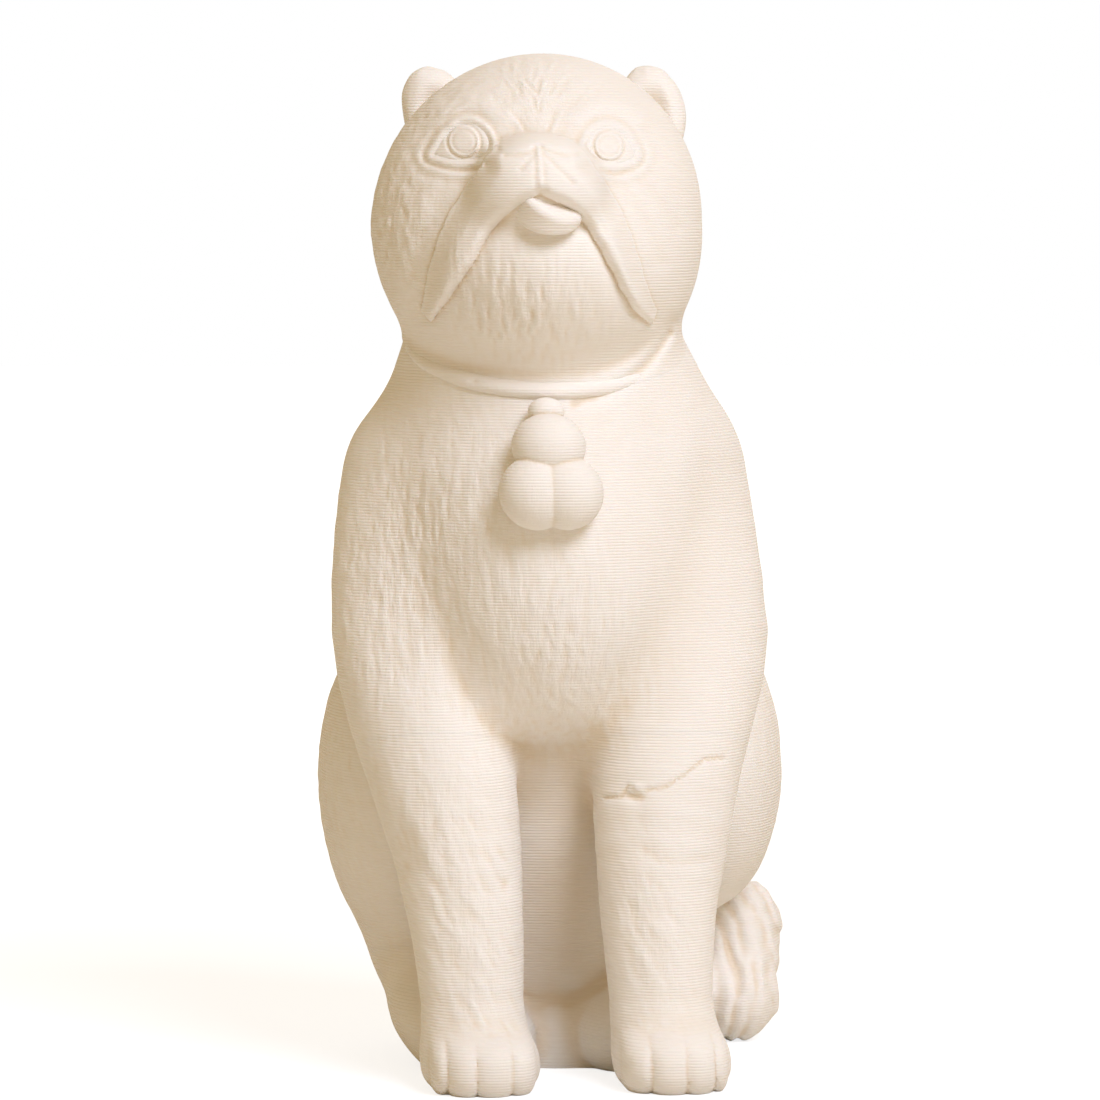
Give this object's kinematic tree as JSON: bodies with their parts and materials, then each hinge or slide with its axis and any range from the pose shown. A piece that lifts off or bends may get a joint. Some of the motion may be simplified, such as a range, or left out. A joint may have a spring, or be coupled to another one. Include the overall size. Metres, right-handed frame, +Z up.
{
  "type": "dog figurine",
  "caption": "Full-length seated pug figurine in unglazed cream ceramic with a collar roll, a pendant of round bells and a curled brush tail; stands on a shelf.",
  "frame": {"origin": "middle of the figure's footprint, on the surface it stands on", "axes": "+Z up, the dog looks along -Y, +X towards the dog's left"},
  "size_m": [0.1336, 0.1804, 0.28],
  "materials": {
    "bisque": "matte unglazed cream ceramic with fine level ridges"
  },
  "bodies": {
    "root": {"torso": "bisque", "head": "bisque", "left_ear": "bisque", "right_ear": "bisque", "left_eye": "bisque", "right_eye": "bisque", "tongue": "bisque", "collar": "bisque", "pendant_top_bell": "bisque", "pendant_left_bell": "bisque", "pendant_right_bell": "bisque", "pendant_bail": "bisque", "left_foreleg": "bisque", "right_foreleg": "bisque", "left_haunch": "bisque", "right_haunch": "bisque", "left_hind_foot": "bisque", "right_hind_foot": "bisque", "tail": "bisque"}
  },
  "joints": []
}
